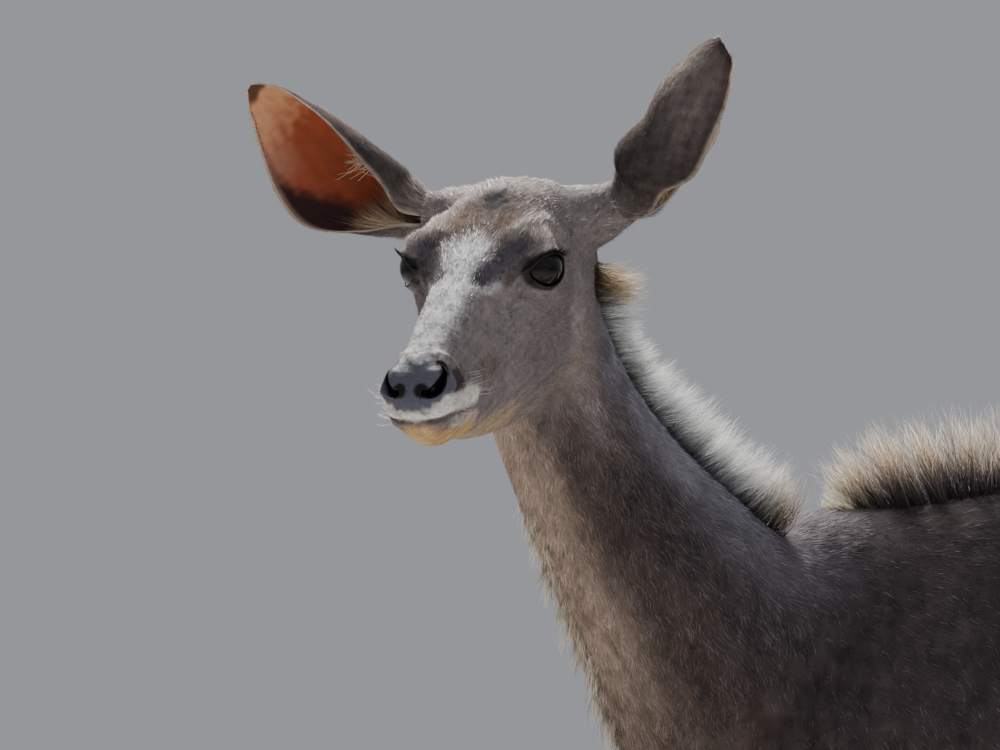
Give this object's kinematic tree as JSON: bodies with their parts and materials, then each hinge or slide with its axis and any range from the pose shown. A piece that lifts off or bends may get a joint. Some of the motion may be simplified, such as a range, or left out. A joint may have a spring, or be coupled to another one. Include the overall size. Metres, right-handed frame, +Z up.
{
  "type": "greater kudu",
  "caption": "Life-size standing female greater kudu: a hornless antelope with large ears, its head turned to its left, grey-brown coat, neck mane, back crest and white flank stripes",
  "frame": {"origin": "centre of the bounding box at floor level, between the four feet", "axes": "+X is the animal's left, -Y is the way its trunk faces, +Z is up"},
  "size_m": [0.5826, 1.7352, 1.6444],
  "materials": {
    "coat": "short grey-brown fur",
    "ear": "short dark fur outside, bare orange skin inside",
    "eye": "wet dark brown",
    "horn": "dark hoof horn"
  },
  "bodies": {
    "root": {"head": "coat", "neck": "coat", "torso": "coat", "tail": "coat", "ear_left": "ear", "ear_right": "ear", "eye_left": "eye", "eye_right": "eye", "leg_fore_left": "coat", "leg_fore_right": "coat", "leg_hind_left": "coat", "leg_hind_right": "coat", "claw_fore_left_inner": "horn", "claw_fore_left_outer": "horn", "dewclaw_fore_left_inner": "horn", "dewclaw_fore_left_outer": "horn", "claw_fore_right_inner": "horn", "claw_fore_right_outer": "horn", "dewclaw_fore_right_inner": "horn", "dewclaw_fore_right_outer": "horn", "claw_hind_left_inner": "horn", "claw_hind_left_outer": "horn", "dewclaw_hind_left_inner": "horn", "dewclaw_hind_left_outer": "horn", "claw_hind_right_inner": "horn", "claw_hind_right_outer": "horn", "dewclaw_hind_right_inner": "horn", "dewclaw_hind_right_outer": "horn"}
  },
  "joints": []
}
